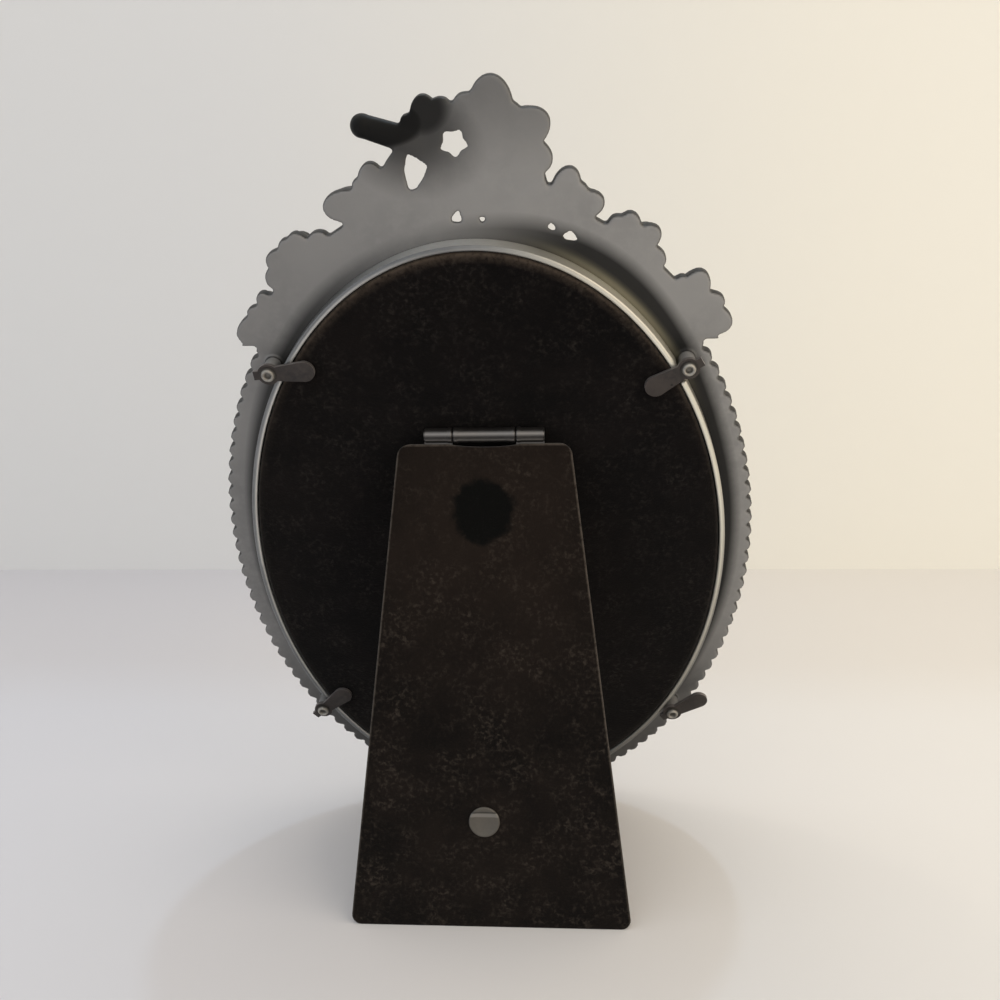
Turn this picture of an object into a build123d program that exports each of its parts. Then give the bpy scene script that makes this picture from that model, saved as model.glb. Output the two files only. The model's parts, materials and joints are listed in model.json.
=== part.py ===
"""Oval table picture frame: a cast vine-leaf frame with a velvet back, turn buttons and a folding leg.

Millimetres, +Z up, front towards -Y. The frame stands on a table, leaning back on its open leg.
"""
import os
from math import cos, radians, sin, tan

from build123d import *

os.makedirs("parts", exist_ok=True)

# Stance: how far the frame leans back from upright, and how far its leg opens, in degrees
lean = 21.5
leg_opening = 28.0

# Back board, the oval that everything else is fitted to
board_half_width = 48.0
board_half_height = 68.0
board_thickness = 1.1
velvet_thickness = 0.45
velvet_ease = 0.05

# Layers in front of the board, each loose in the band
glass_thickness = 1.5
photo_thickness = 0.25
filler_thickness = 0.6
layer_play = 0.3

# Retaining band, a strip bent round the oval with its ends left apart
band_play = 0.25
band_wall = 1.1
band_proud = 0.1
band_gap = 2.6
band_gap_turn = 39.5
band_gap_reach = 3.3

# Casting: plate, beaded edge, oval moulding on the front and sight opening
plate_thickness = 2.2
ledge_width = 2.7
bead_diameter = 3.5
bead_sides = 8
bead_root = 0.5
bead_rise = 1.5
bead_dome_sides = 6
bead_dome_radius = 1.6
bead_dome_taper = 27.0
moulding_depth = 2.2
moulding_inset = 0.4
moulding_slope = 1.5
sight_overlap = 4.0
sight_lip = 1.0
sight_slope = 3.2

# Crest: the beads stop where it starts, and its leaves stand along the rim
crest_from_turn = 40.5
crest_backing = 2.6
crest_field_half_width = 15.0
crest_field_half_height = 12.0
crest_field_side = -1.0
crest_field_outset = 1.4
lobe_slenderness = 0.33
heart_share = 0.62
leaf_step = 0.9
twig_place = (95.3, 10.2)
twig_radius = 2.2
twig_length = 13.1
twig_turn = 162.8
twig_depth = 1.1

# Bosses on the back of the casting, and the rivets and buttons on them
boss_radius = 1.6
boss_proud = 0.2
boss_gap = 0.15
upper_boss_turn = 40.0
lower_boss_turn = 37.0
rivet_shank_radius = 0.8
rivet_shank_depth = 3.0
rivet_head_radius = 1.6
rivet_head_height = 0.7
rivet_bore_radius = 0.65
rivet_bore_depth = 1.2
rivet_seat_ease = 0.02
button_thickness = 0.8
button_ease = 0.05
button_reach = 9.0
button_end_radius = 2.05
button_neck_half_width = 1.3
button_eye_radius = 2.1
button_tail = 2.9
button_tail_half_width = 0.9
button_turns = (4.0, -149.0, 41.0, 34.6)

# Hinge between the back and the leg
hinge_height = 32.5
hinge_side = 1.0
hinge_length = 23.4
hinge_middle_length = 12.1
knuckle_gap = 0.2
pin_radius = 0.7
pin_ease = 0.05
leaf_thickness = 0.55
leaf_ease = 0.05
back_leaf_length = 10.0
leg_leaf_length = 12.0
leg_leaf_root = 3.0
barrel_clearance = 0.3

# Leg: a tapered board wrapped in velvet, lined on its inner side
leg_top_width = 33.7
leg_bottom_width = 57.2
leg_core_thickness = 1.8
leg_lining_thickness = 0.25
leg_lining_inset = 0.6
leg_top_clearance = 0.4
leg_top_dip = 0.6
leg_corner_radius = 2.2
leg_rivet_radius = 3.1
leg_rivet_head = 0.35
leg_rivet_bevel = 0.2
leg_rivet_shank_radius = 1.2
leg_rivet_clinch_radius = 2.0
leg_rivet_distance = 77.5
leg_rivet_side = -0.9

# Heights over the back of the casting, along the frame's rear normal
photo_base = glass_thickness
filler_base = photo_base + photo_thickness
board_base = filler_base + filler_thickness
velvet_base = board_base + board_thickness
back_surface = velvet_base + velvet_thickness
band_height = back_surface + band_proud
boss_height = band_height + boss_proud - button_ease
button_base = boss_height + button_ease
rivet_head_base = button_base + button_thickness + button_ease
knuckle_radius = pin_radius + pin_ease + leaf_thickness
hinge_depth = back_surface + barrel_clearance + knuckle_radius

# Ovals, as half widths and half heights, each grown from the board
velvet_grow = velvet_thickness + velvet_ease
band_inner_grow = velvet_grow + band_play
band_outer_grow = band_inner_grow + band_wall
bead_line_grow = band_outer_grow + ledge_width + bead_diameter / 2
rim_grow = bead_line_grow + bead_diameter / 2
layer_grow = band_inner_grow - layer_play
sight_grow = -sight_overlap
moulding_grow = bead_line_grow - bead_diameter / 2 - moulding_inset
front_depth = plate_thickness + moulding_depth


def oval(grow):
    """Half width and half height of the oval that lies this far outside the board."""
    return board_half_width + grow, board_half_height + grow


def rim_place(turn, outset, grow=rim_grow):
    """The point beside an oval, at a turn from the right and set out square to the edge."""
    half_width, half_height = oval(grow)
    along = Vector(half_width * cos(radians(turn)), half_height * sin(radians(turn)))
    square = Vector(along.X / half_width**2, along.Y / half_height**2).normalized()
    return along + square * outset


# Beads: many-sided studs, spaced evenly along the edge, two of them sharing the lowest stretch
bead_line = Edge.make_ellipse(*oval(bead_line_grow))
bead_count = 2 * round(bead_line.length / bead_diameter / 2)
bead_radius = bead_diameter / 2
bead_flat = bead_radius * cos(radians(180 / bead_sides))
all_beads = [bead_line @ ((0.75 + (i + 0.5) / bead_count) % 1) for i in range(bead_count)]
crest_starts = rim_place(crest_from_turn, 0).Y
bead_places = [bead for bead in all_beads if bead.Y < crest_starts]
lowest_bead = min(bead.Y for bead in bead_places) - bead_flat

# Crest leaves: place along the rim (turn, outset), then each lobe's direction and reach
crest_leaves = {
    "right_low": (46.2, 0.0, ((97, 7.0), (69, 8.4), (17, 7.6), (-18, 9.4))),
    "right_middle": (60.8, 0.0, ((103, 7.0), (80, 7.4), (33, 7.6), (-14, 7.9))),
    "right_high": (74.0, 1.2, ((73, 7.8), (43, 6.4), (11, 8.1))),
    "top": (86.4, 9.2, ((88, 12.0), (119, 10.3), (58, 8.6), (27, 11.2), (-13, 10.8))),
    "twig_side": (95.3, 11.2, ((62, 7.6), (92, 7.4), (135, 5.6))),
    "left_high": (106.5, 3.6, ((86, 7.2), (120, 5.0), (184, 8.8))),
    "left_middle": (121.9, 0.0, ((68, 7.5), (113, 7.3), (134, 7.4), (167, 8.6), (194, 9.3))),
    "left_low": (133.2, -0.4, ((114, 5.4), (168, 5.4), (210, 9.0))),
}
leaf_rises = (1.4, 2.0, 1.5, 2.4, 1.2, 1.8, 2.1, 1.3)

# Piercings in the crest: each one's place along the rim (turn, outset), and its corners from there
star_place = (91.6, 10.3)
star_radius = 2.45
star_waist_radius = 1.6
star_turn = -13.0
piercings = (
    (
        (98.2, 6.4),
        ((-0.8, 3.05), (0.5, 2.35), (2.3, 1.05), (1.6, -0.65), (0.1, -2.65), (-1.0, -2.85), (-1.5, 0.35)),
    ),
    ((92.3, -2.4), ((-1.2, -0.6), (0.2, 1.3), (0.6, -0.8))),
    ((87.6, -2.9), ((-0.5, 0.6), (0.7, 0.1), (0.0, -0.4))),
    ((74.5, -1.8), ((-0.45, -0.2), (0.25, 0.6), (0.95, -1.0))),
    ((70.7, -2.0), ((-1.0, -0.2), (0.2, 0.65), (1.5, -1.1), (-0.7, -0.75))),
)
piercing_draft = 18.0

# Where the frame stands: the lowest bead and the leg's foot on z = 0, middle of its depth on y = 0
lean_turn = radians(lean)
top_leaf_turn, top_leaf_outset, top_lobes = crest_leaves["top"]
crest_top = rim_place(top_leaf_turn, top_leaf_outset).Y + top_lobes[0][1]
rear_reach = crest_top * sin(lean_turn)
bead_dome_flat = bead_dome_radius * cos(radians(180 / bead_dome_sides))
bead_crown_flat = bead_dome_flat - bead_rise * tan(radians(bead_dome_taper))
lowest_crown = lowest_bead + bead_flat - bead_crown_flat
front_reach = (plate_thickness + bead_rise) * cos(lean_turn) - lowest_crown * sin(lean_turn)
centre_y = (front_reach - rear_reach) / 2
centre_z = -lowest_bead * cos(lean_turn)

# The casting's back plane: x to the right as seen from behind, y up the frame, z out of the back
back = Plane(
    origin=(0, centre_y, centre_z),
    x_dir=(-1, 0, 0),
    z_dir=(0, cos(lean_turn), -sin(lean_turn)),
)
rear = Axis(back.origin, back.z_dir)
plate_front = Plane(
    origin=back.from_local_coords((0, 0, -plate_thickness)),
    x_dir=back.x_dir,
    z_dir=-back.z_dir,
)

# The twig's plane: across the stick that stands out beside the top leaf
twig_root = rim_place(*twig_place)
twig = Plane(
    origin=back.from_local_coords((twig_root.X, twig_root.Y, -twig_depth)),
    x_dir=back.z_dir,
    z_dir=back.x_dir * cos(radians(twig_turn)) + back.y_dir * sin(radians(twig_turn)),
)

# The leg's plane: origin on the hinge axis, y up the leg, z out of its outer face
leg_turn = radians(leg_opening)
hinge_point = back.from_local_coords((hinge_side, hinge_height, hinge_depth))
leg = Plane(
    origin=hinge_point,
    x_dir=back.x_dir,
    z_dir=back.z_dir * cos(leg_turn) + back.y_dir * sin(leg_turn),
)
leg_tilt = leg_turn - lean_turn
leg_thickness = leg_lining_thickness + leg_core_thickness + velvet_thickness
leg_inner = -leg_thickness / 2
leg_core_inner = leg_inner + leg_lining_thickness
leg_outer = leg_thickness / 2
leg_top = knuckle_radius + leg_top_clearance
leg_length = (hinge_point.Z + leg_outer * sin(leg_tilt)) / cos(leg_tilt)

# Bosses: two above and two below the middle, close outside the band
boss_outset = boss_radius + boss_gap
boss_turns = (180 - upper_boss_turn, upper_boss_turn, 180 + lower_boss_turn, -lower_boss_turn)
post_places = [rim_place(turn, boss_outset, band_outer_grow) for turn in boss_turns]


def leaf_outline(turn, outset, lobes, step=0):
    """Draw one vine leaf, stepped in from its edge: a round heart with long lobes that overlap at it."""
    heart = rim_place(turn, outset)
    with Locations(heart):
        Circle(heart_share * min(reach for _, reach in lobes) - step)
    for direction, reach in lobes:
        half = (reach - step) / 2
        with Locations(heart + Vector(half, 0).rotate(Axis.Z, direction)):
            Ellipse(half, lobe_slenderness * 2 * half, rotation=direction)


# Star piercing: five points and the waists between them, from its place
star_corners = [
    Vector(radius, 0).rotate(Axis.Z, star_turn + 72 * point + turn)
    for point in range(5)
    for radius, turn in ((star_radius, 0), (star_waist_radius, 36))
]

# Bead dome: one drafted stud for the front of a bead
with BuildPart() as bead_dome:
    with BuildSketch():
        RegularPolygon(bead_dome_radius, bead_dome_sides)
    extrude(amount=bead_rise)
    draft(bead_dome.faces().filter_by(Axis.Z, reverse=True), Plane.XY, bead_dome_taper)

# Frame casting: plate and crest, then leaves, moulding, sight opening, piercings, bosses and beads
with BuildPart() as frame_casting:
    with BuildSketch(back):
        Ellipse(*oval(bead_line_grow + bead_root))
        with Locations(rim_place(90, crest_field_outset) + Vector(crest_field_side, 0)):
            Ellipse(crest_field_half_width, crest_field_half_height)
        for leaf in crest_leaves.values():
            leaf_outline(*leaf)
    extrude(amount=-plate_thickness)
    with BuildSketch(back):
        Ellipse(*oval(rim_grow + crest_backing))
        with Locations((0, crest_starts)):
            Rectangle(
                2 * oval(rim_grow)[0],
                oval(rim_grow)[1],
                align=(Align.CENTER, Align.MIN),
                mode=Mode.INTERSECT,
            )
    extrude(amount=-plate_thickness)
    with BuildSketch(twig):
        Circle(twig_radius)
    extrude(amount=twig_length)

    for leaf, rise in zip(crest_leaves.values(), leaf_rises):
        with BuildSketch(back.offset(-plate_thickness)):
            leaf_outline(*leaf, step=leaf_step)
        extrude(amount=-rise)

    with BuildSketch(back.offset(-plate_thickness)):
        Ellipse(*oval(moulding_grow))
    with BuildSketch(back.offset(-front_depth)):
        Ellipse(*oval(moulding_grow - moulding_slope))
    loft(ruled=True)

    with BuildSketch(back):
        Ellipse(*oval(sight_grow))
    extrude(amount=-front_depth, mode=Mode.SUBTRACT)
    with BuildSketch(back.offset(-sight_lip)):
        Ellipse(*oval(sight_grow))
    with BuildSketch(back.offset(-front_depth)):
        Ellipse(*oval(sight_grow + sight_slope))
    loft(ruled=True, mode=Mode.SUBTRACT)

    with BuildSketch(back):
        for place, corners in (*piercings, (star_place, star_corners)):
            with Locations(rim_place(*place)):
                Polygon(*corners, align=(Align.NONE, Align.NONE))
    extrude(amount=-front_depth, taper=-piercing_draft, mode=Mode.SUBTRACT)

    with BuildSketch(back):
        with Locations(*post_places):
            Circle(boss_radius)
    extrude(amount=boss_height)
    with BuildSketch(back.offset(boss_height)):
        with Locations(*post_places):
            Circle(rivet_shank_radius + rivet_seat_ease)
    extrude(amount=-rivet_shank_depth, mode=Mode.SUBTRACT)

    with BuildSketch(back):
        with Locations(*bead_places):
            RegularPolygon(bead_radius, bead_sides)
    extrude(amount=-plate_thickness)
    with Locations(*[plate_front.location * Location((bead.X, -bead.Y)) for bead in bead_places]):
        add(bead_dome.part)

frame_casting.part.label = "frame_casting"
export_step(frame_casting.part, "parts/frame_casting.step")

# Retaining band: a strip on edge round the back, open where its ends meet
with BuildPart() as retaining_band:
    with BuildSketch(back):
        Ellipse(*oval(band_outer_grow))
        Ellipse(*oval(band_inner_grow), mode=Mode.SUBTRACT)
        with Locations(rim_place(band_gap_turn, 0, band_outer_grow)):
            Rectangle(band_gap_reach, band_gap, rotation=band_gap_turn, mode=Mode.SUBTRACT)
    extrude(amount=band_height)

retaining_band.part.label = "retaining_band"
export_step(retaining_band.part, "parts/retaining_band.step")

# Turn buttons and the hollow rivets that they turn on, one of each on every boss
for number, (place, turn) in enumerate(zip(post_places, button_turns), start=1):
    post = Plane(
        origin=back.from_local_coords((place.X, place.Y, button_base)),
        x_dir=back.x_dir * cos(radians(turn)) + back.y_dir * sin(radians(turn)),
        z_dir=back.z_dir,
    )
    with BuildPart() as turn_button:
        with BuildSketch(post):
            Circle(button_eye_radius)
            end = button_reach - button_end_radius
            with Locations((end, 0)):
                Circle(button_end_radius)
            Polygon(
                (0, -button_neck_half_width),
                (end, -button_end_radius),
                (end, button_end_radius),
                (0, button_neck_half_width),
                align=(Align.NONE, Align.NONE),
            )
            with Locations((-button_tail / 2, 0)):
                Rectangle(button_tail, 2 * button_tail_half_width)
            Circle(rivet_shank_radius + button_ease, mode=Mode.SUBTRACT)
        extrude(amount=button_thickness)
    turn_button.part.label = f"turn_button_{number}"
    export_step(turn_button.part, f"parts/turn_button_{number}.step")

    with BuildPart() as button_rivet:
        with BuildSketch(post.offset(rivet_head_base - button_base)):
            Circle(rivet_head_radius)
        extrude(amount=rivet_head_height)
        with BuildSketch(post.offset(rivet_head_base - button_base)):
            Circle(rivet_shank_radius)
        extrude(amount=boss_height - rivet_shank_depth - rivet_head_base)
        with BuildSketch(post.offset(rivet_head_base + rivet_head_height - button_base)):
            Circle(rivet_bore_radius)
        extrude(amount=-rivet_bore_depth, mode=Mode.SUBTRACT)
    button_rivet.part.label = f"button_rivet_{number}"
    export_step(button_rivet.part, f"parts/button_rivet_{number}.step")

# Glass pane and photo card: plain ovals, one behind the other
for name, base, thickness in (
    ("glass_pane", 0, glass_thickness),
    ("photo_card", photo_base, photo_thickness),
):
    with BuildPart() as layer:
        with BuildSketch(back.offset(base)):
            Ellipse(*oval(layer_grow))
        extrude(amount=thickness)
    layer.part.label = name
    export_step(layer.part, f"parts/{name}.step")

# The hinge's back leaf goes through a slot in the back and is bent up flat behind the filler card
slot_width = hinge_middle_length + 2 * leaf_ease
slot_height = leaf_thickness + 2 * leaf_ease
flange_foot = hinge_height - leaf_thickness / 2
flange_middle = flange_foot + back_leaf_length / 2

with BuildPart() as filler_card:
    with BuildSketch(back.offset(filler_base)):
        Ellipse(*oval(layer_grow))
        with Locations((hinge_side, flange_middle)):
            Rectangle(
                hinge_middle_length + 2 * layer_play,
                back_leaf_length + 2 * layer_play,
                mode=Mode.SUBTRACT,
            )
    extrude(amount=filler_thickness)

filler_card.part.label = "filler_card"
export_step(filler_card.part, "parts/filler_card.step")

with BuildPart() as back_board:
    with BuildSketch(back.offset(board_base)):
        Ellipse(board_half_width, board_half_height)
        with Locations((hinge_side, hinge_height)):
            Rectangle(slot_width, slot_height, mode=Mode.SUBTRACT)
    extrude(amount=board_thickness)

back_board.part.label = "back_board"
export_step(back_board.part, "parts/back_board.step")

# Velvet on the back: a skin over the board's outer face, turned down round its edge
with BuildPart() as back_velvet:
    with BuildSketch(back.offset(board_base)):
        Ellipse(*oval(velvet_grow))
    extrude(amount=board_thickness + velvet_thickness)
    with BuildSketch(back.offset(board_base)):
        Ellipse(*oval(velvet_ease))
    extrude(amount=board_thickness, mode=Mode.SUBTRACT)
    with BuildSketch(back.offset(velvet_base)):
        with Locations((hinge_side, hinge_height)):
            Rectangle(slot_width, slot_height)
    extrude(amount=velvet_thickness, mode=Mode.SUBTRACT)

back_velvet.part.label = "back_velvet"
export_step(back_velvet.part, "parts/back_velvet.step")

# Hinge: planes across the barrel, for what is drawn along the axis
hinge_across = Plane(origin=hinge_point, x_dir=back.y_dir, z_dir=back.x_dir)
middle_half = hinge_middle_length / 2
hinge_half = hinge_length / 2

with BuildPart() as hinge_back_leaf:
    with BuildSketch(hinge_across.offset(-middle_half)):
        Circle(knuckle_radius)
    extrude(amount=hinge_middle_length)
    with BuildSketch(back.offset(board_base)):
        with Locations((hinge_side, hinge_height)):
            Rectangle(hinge_middle_length, leaf_thickness)
    extrude(amount=hinge_depth - board_base)
    with BuildSketch(back.offset(board_base)):
        with Locations((hinge_side, flange_middle)):
            Rectangle(hinge_middle_length, back_leaf_length)
    extrude(amount=-leaf_thickness)
    with BuildSketch(hinge_across.offset(-middle_half)):
        Circle(pin_radius + pin_ease)
    extrude(amount=hinge_middle_length, mode=Mode.SUBTRACT)

hinge_back_leaf.part.label = "hinge_back_leaf"
export_step(hinge_back_leaf.part, "parts/hinge_back_leaf.step")

outer_knuckle_length = hinge_half - middle_half - knuckle_gap
outer_knuckle_middle = middle_half + knuckle_gap + outer_knuckle_length / 2

with BuildPart() as hinge_leg_leaf:
    for side in (-1, 1):
        with BuildSketch(hinge_across.offset(side * outer_knuckle_middle)):
            Circle(knuckle_radius)
        extrude(amount=outer_knuckle_length / 2, both=True)
        with BuildSketch(leg.offset(-leaf_thickness / 2)):
            with Locations((side * outer_knuckle_middle, -leg_leaf_root / 2)):
                Rectangle(outer_knuckle_length, leg_leaf_root)
        extrude(amount=leaf_thickness)
    with BuildSketch(leg.offset(-leaf_thickness / 2)):
        with Locations((0, -(leg_leaf_root + leg_leaf_length) / 2)):
            Rectangle(hinge_length, leg_leaf_length - leg_leaf_root)
    extrude(amount=leaf_thickness)
    with BuildSketch(hinge_across.offset(-hinge_half)):
        Circle(pin_radius + pin_ease)
    extrude(amount=hinge_length, mode=Mode.SUBTRACT)

hinge_leg_leaf.part.label = "hinge_leg_leaf"
export_step(hinge_leg_leaf.part, "parts/hinge_leg_leaf.step")

with BuildPart() as hinge_pin:
    with BuildSketch(hinge_across.offset(-hinge_half)):
        Circle(pin_radius)
    extrude(amount=hinge_length)

hinge_pin.part.label = "hinge_pin"
export_step(hinge_pin.part, "parts/hinge_pin.step")


def leg_outline(inset):
    """Draw the leg's tapered outline, this far inside its velvet, with rounded corners."""
    taper = (leg_bottom_width - leg_top_width) / 2 / (leg_length - leg_top)
    side_inset = inset * (1 + taper**2) ** 0.5
    top_half = leg_top_width / 2 - side_inset + taper * inset
    bottom_half = leg_bottom_width / 2 - side_inset - taper * inset
    with BuildLine() as outline:
        FilletPolyline(
            (-top_half, -leg_top - inset),
            (top_half, -leg_top - inset),
            (bottom_half, inset - leg_length),
            (-bottom_half, inset - leg_length),
            radius=leg_corner_radius - inset,
            close=True,
        )
    make_face(outline.edges())
    with Locations((0, -leg_top - inset)):
        Rectangle(
            hinge_middle_length + 2 * knuckle_gap + 2 * inset,
            2 * leg_top_dip,
            mode=Mode.SUBTRACT,
        )


# Leg core: a stiff board with a pocket for the hinge leaf and a hole for its rivet
core_inset = velvet_thickness + velvet_ease
rivet_place = (leg_rivet_side, -leg_rivet_distance)

with BuildPart() as leg_core:
    with BuildSketch(leg.offset(leg_core_inner)):
        leg_outline(core_inset)
        with Locations(rivet_place):
            Circle(leg_rivet_shank_radius + rivet_seat_ease, mode=Mode.SUBTRACT)
    extrude(amount=leg_core_thickness)
    with BuildSketch(leg.offset(-leaf_thickness / 2 - leaf_ease)):
        with Locations((0, -leg_leaf_length / 2)):
            Rectangle(hinge_length + 2 * leaf_ease, leg_leaf_length + 2 * leaf_ease)
    extrude(amount=leaf_thickness + 2 * leaf_ease, mode=Mode.SUBTRACT)
    split(bisect_by=Plane.XY.offset(core_inset), keep=Keep.TOP)

leg_core.part.label = "leg_core"
export_step(leg_core.part, "parts/leg_core.step")

# Leg velvet: a skin over the outer face and edges, open on the inner side, slit for the hinge leaf
with BuildPart() as leg_core_space:
    with BuildSketch(leg.offset(leg_core_inner)):
        leg_outline(velvet_thickness)
    extrude(amount=leg_core_thickness)
    split(bisect_by=Plane.XY.offset(velvet_thickness), keep=Keep.TOP)

with BuildPart() as leg_velvet:
    with BuildSketch(leg.offset(leg_core_inner)):
        leg_outline(0)
        with Locations(rivet_place):
            Circle(leg_rivet_shank_radius + rivet_seat_ease, mode=Mode.SUBTRACT)
    extrude(amount=leg_core_thickness + velvet_thickness)
    split(bisect_by=Plane.XY, keep=Keep.TOP)
    add(leg_core_space.part, mode=Mode.SUBTRACT)
    with BuildSketch(leg.offset(-leaf_thickness / 2 - leaf_ease)):
        with Locations((0, -leg_leaf_length / 2)):
            Rectangle(hinge_length + 2 * leaf_ease, leg_leaf_length)
    extrude(amount=leaf_thickness + 2 * leaf_ease, mode=Mode.SUBTRACT)

leg_velvet.part.label = "leg_velvet"
export_step(leg_velvet.part, "parts/leg_velvet.step")

# Leg lining: a thin sheet on the inner side, kept inside the velvet's edge
with BuildPart() as leg_lining:
    with BuildSketch(leg.offset(leg_inner)):
        leg_outline(leg_lining_inset)
        with Locations(rivet_place):
            Circle(leg_rivet_clinch_radius + rivet_seat_ease, mode=Mode.SUBTRACT)
    extrude(amount=leg_lining_thickness)
    split(bisect_by=Plane.XY.offset(leg_lining_inset), keep=Keep.TOP)

leg_lining.part.label = "leg_lining"
export_step(leg_lining.part, "parts/leg_lining.step")

# Leg rivet: a flat head outside, a shank through the board and a clinched end flush with the lining
with BuildPart() as leg_rivet:
    with BuildSketch(leg.offset(leg_outer)):
        with Locations(rivet_place):
            Circle(leg_rivet_radius)
    extrude(amount=leg_rivet_head)
    chamfer(leg_rivet.edges().sort_by(Axis(leg.origin, leg.z_dir))[-1], leg_rivet_bevel)
    with BuildSketch(leg.offset(leg_inner)):
        with Locations(rivet_place):
            Circle(leg_rivet_shank_radius)
    extrude(amount=leg_thickness)
    with BuildSketch(leg.offset(leg_inner)):
        with Locations(rivet_place):
            Circle(leg_rivet_clinch_radius)
    extrude(amount=leg_lining_thickness)

leg_rivet.part.label = "leg_rivet"
export_step(leg_rivet.part, "parts/leg_rivet.step")
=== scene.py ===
"""Looks of an oval picture frame: a cast vine frame with a velvet back, turn buttons and a folding leg."""
import json
import math

import bpy
import numpy as np
from mathutils import Matrix, Vector

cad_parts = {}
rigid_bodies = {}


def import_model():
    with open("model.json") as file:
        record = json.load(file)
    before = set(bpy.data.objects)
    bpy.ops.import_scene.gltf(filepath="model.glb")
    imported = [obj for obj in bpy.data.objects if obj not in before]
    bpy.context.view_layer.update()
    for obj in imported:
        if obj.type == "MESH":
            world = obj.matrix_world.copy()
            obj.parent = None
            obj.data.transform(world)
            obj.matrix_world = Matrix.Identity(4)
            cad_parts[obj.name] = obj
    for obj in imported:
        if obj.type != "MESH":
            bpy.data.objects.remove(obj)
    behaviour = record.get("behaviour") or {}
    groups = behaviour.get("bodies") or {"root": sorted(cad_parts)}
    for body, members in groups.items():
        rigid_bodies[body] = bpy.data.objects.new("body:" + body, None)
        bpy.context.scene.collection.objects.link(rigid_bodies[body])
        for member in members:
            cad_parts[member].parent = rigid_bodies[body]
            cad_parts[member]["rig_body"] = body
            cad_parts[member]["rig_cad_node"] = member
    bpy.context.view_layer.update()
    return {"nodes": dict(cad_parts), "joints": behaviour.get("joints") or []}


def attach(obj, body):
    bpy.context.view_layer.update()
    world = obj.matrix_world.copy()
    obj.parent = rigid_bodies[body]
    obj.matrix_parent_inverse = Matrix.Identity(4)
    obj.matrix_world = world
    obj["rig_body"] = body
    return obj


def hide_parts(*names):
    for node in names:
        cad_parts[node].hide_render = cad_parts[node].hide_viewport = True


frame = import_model()

# Frame casting: grey white metal, with a beaded edge, a flat back and vine leaves in relief on its front.
# It is poured in one piece, so leaves, stem, twig and beads run into each other with soft edges.
# Pieces are modelled lying flat, seen from behind: x to the right, y up the frame, z out of its back.
MM = 0.001
joints = {joint["name"]: joint for joint in frame["joints"]}
rear = Vector(joints["button_1_turn"]["axis"])
across = Vector((-1, 0, 0))
up_frame = rear.cross(across)
hinge_place = Vector((1.0, 32.5, 5.5)) * MM
hinge_point = Vector(joints["leg_fold"]["pos_m"])
turned_up = Matrix((across, up_frame, rear)).transposed()
standing = Matrix.Translation(hinge_point - turned_up @ hinge_place) @ turned_up.to_4x4()

plate_thickness = 2.2 * MM
rim_half_width = 56.05 * MM
rim_half_height = 76.05 * MM
bead_radius = 1.76 * MM
bead_depth = 1.93 * MM
bead_line_inset = 1.75 * MM
bead_count = 116
crest_start = 49.4 * MM
stem_outset = 0.6 * MM
stem_radius = 1.3 * MM
leaf_dome = 1.1 * MM
vein_radius = 0.42 * MM
lobe_slenderness = 0.33
leaf_step = 0.9
casting_grain = 0.32 * MM
twig_end = Vector((-18.96, 89.71, -1.1)) * MM
twig_knob = Vector((-17.5, 89.4, -1.1)) * MM
twig_radius = 2.2 * MM
twig_lap_foot = 80 * MM
twig_lap_end = -13 * MM
twig_lap_depth = 0.1 * MM
loose_gap = 0.001 * MM
smooth_below = math.radians(38)

# Vine leaves along the rim: turn in degrees, outset and rise in mm, then each lobe's direction and reach
vine_leaves = {
    "right_low": (46.2, 0.0, 1.4, ((97, 7.0), (69, 8.4), (17, 7.6), (-18, 9.4))),
    "right_middle": (60.8, 0.0, 2.0, ((103, 7.0), (80, 7.4), (33, 7.6), (-14, 7.9))),
    "right_high": (74.0, 1.2, 1.5, ((73, 7.8), (43, 6.4), (11, 8.1))),
    "top": (86.4, 9.2, 2.4, ((88, 12.0), (119, 10.3), (58, 8.6), (27, 11.2), (-13, 10.8))),
    "twig_side": (95.3, 11.2, 1.2, ((62, 7.6), (92, 7.4), (135, 5.6))),
    "left_high": (106.5, 3.6, 1.8, ((86, 7.2), (120, 5.0), (184, 8.8))),
    "left_middle": (121.9, 0.0, 2.1, ((68, 7.5), (113, 7.3), (134, 7.4), (167, 8.6), (194, 9.3))),
    "left_low": (133.2, -0.4, 1.3, ((114, 5.4), (168, 5.4), (210, 9.0))),
}


def only(piece):
    """Select one piece alone, in object mode."""
    if bpy.context.object and bpy.context.object.mode != "OBJECT":
        bpy.ops.object.mode_set(mode="OBJECT")
    bpy.ops.object.select_all(action="DESELECT")
    piece.select_set(True)
    bpy.context.view_layer.objects.active = piece


def added(name):
    """The object that an add operator has just made, under its own name."""
    piece = bpy.context.object
    piece.name = name
    piece.data.name = name
    return piece


def use_modifier(piece, kind, **settings):
    """Add one modifier to a piece and apply it."""
    only(piece)
    modifier = piece.modifiers.new(kind.lower(), kind)
    for setting, value in settings.items():
        setattr(modifier, setting, value)
    bpy.ops.object.modifier_apply(modifier=modifier.name)


def another(piece, name):
    """A copy of a piece, with its own mesh."""
    made = piece.copy()
    made.data = piece.data.copy()
    made.name = made.data.name = name
    bpy.context.collection.objects.link(made)
    return made


def flat_copy(node, name):
    """A copy of a CAD node, laid flat and with its loose triangles merged."""
    piece = another(frame["nodes"][node], name)
    piece.parent = None
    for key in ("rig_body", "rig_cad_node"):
        del piece[key]
    piece.data.transform(standing.inverted())
    only(piece)
    bpy.ops.object.mode_set(mode="EDIT")
    bpy.ops.mesh.select_all(action="SELECT")
    bpy.ops.mesh.remove_doubles(threshold=loose_gap)
    bpy.ops.object.mode_set(mode="OBJECT")
    bpy.ops.mesh.customdata_custom_splitnormals_clear()
    return piece


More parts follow.
